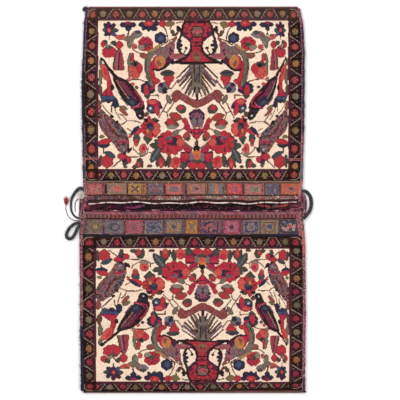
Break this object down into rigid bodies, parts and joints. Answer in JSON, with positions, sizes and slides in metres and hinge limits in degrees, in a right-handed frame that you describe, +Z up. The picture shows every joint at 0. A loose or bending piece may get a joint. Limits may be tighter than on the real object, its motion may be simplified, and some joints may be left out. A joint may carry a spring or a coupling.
{
  "type": "pile-faced double saddle bag",
  "caption": "Empty double saddle bag lying flat: two pile-faced pouches joined by a short bridge, with overcast side seams, slit closing bands and goat-hair cords.",
  "frame": {"origin": "middle of the bag's outline, on the surface it lies on", "axes": "+X across the bag, +Y along its length towards the closed end of the upper pouch, +Z up from the surface"},
  "size_m": [0.6696, 1.05, 0.019],
  "materials": {
    "pile_wool": "knotted wool pile in ivory, red, navy and green on a dark border",
    "flatweave_wool": "weft-faced flatweave wool",
    "seam_wool": "overcast wool yarn in rose, mauve and dark brown",
    "goat_hair": "plaited charcoal goat hair",
    "wine_wool": "plied wine-red wool",
    "red_wool": "loose red wool",
    "cream_wool": "undyed cream wool"
  },
  "bodies": {
    "root": {"woven_strip": "pile_wool", "upper_left_seam": "seam_wool", "upper_right_seam": "seam_wool", "lower_left_seam": "seam_wool", "lower_right_seam": "seam_wool", "bridge_left_edge": "seam_wool", "bridge_right_edge": "seam_wool", "upper_lip_cord": "cream_wool", "lower_lip_cord": "cream_wool", "left_plaited_cord": "goat_hair", "wine_cord": "wine_wool", "wine_cord_tassel": "red_wool", "inner_cord": "wine_wool", "left_hair_loop": "goat_hair", "right_hair_bow": "goat_hair", "cream_wool_tuft": "cream_wool", "top_left_tuft": "goat_hair", "bottom_right_knot": "goat_hair"}
  },
  "joints": []
}
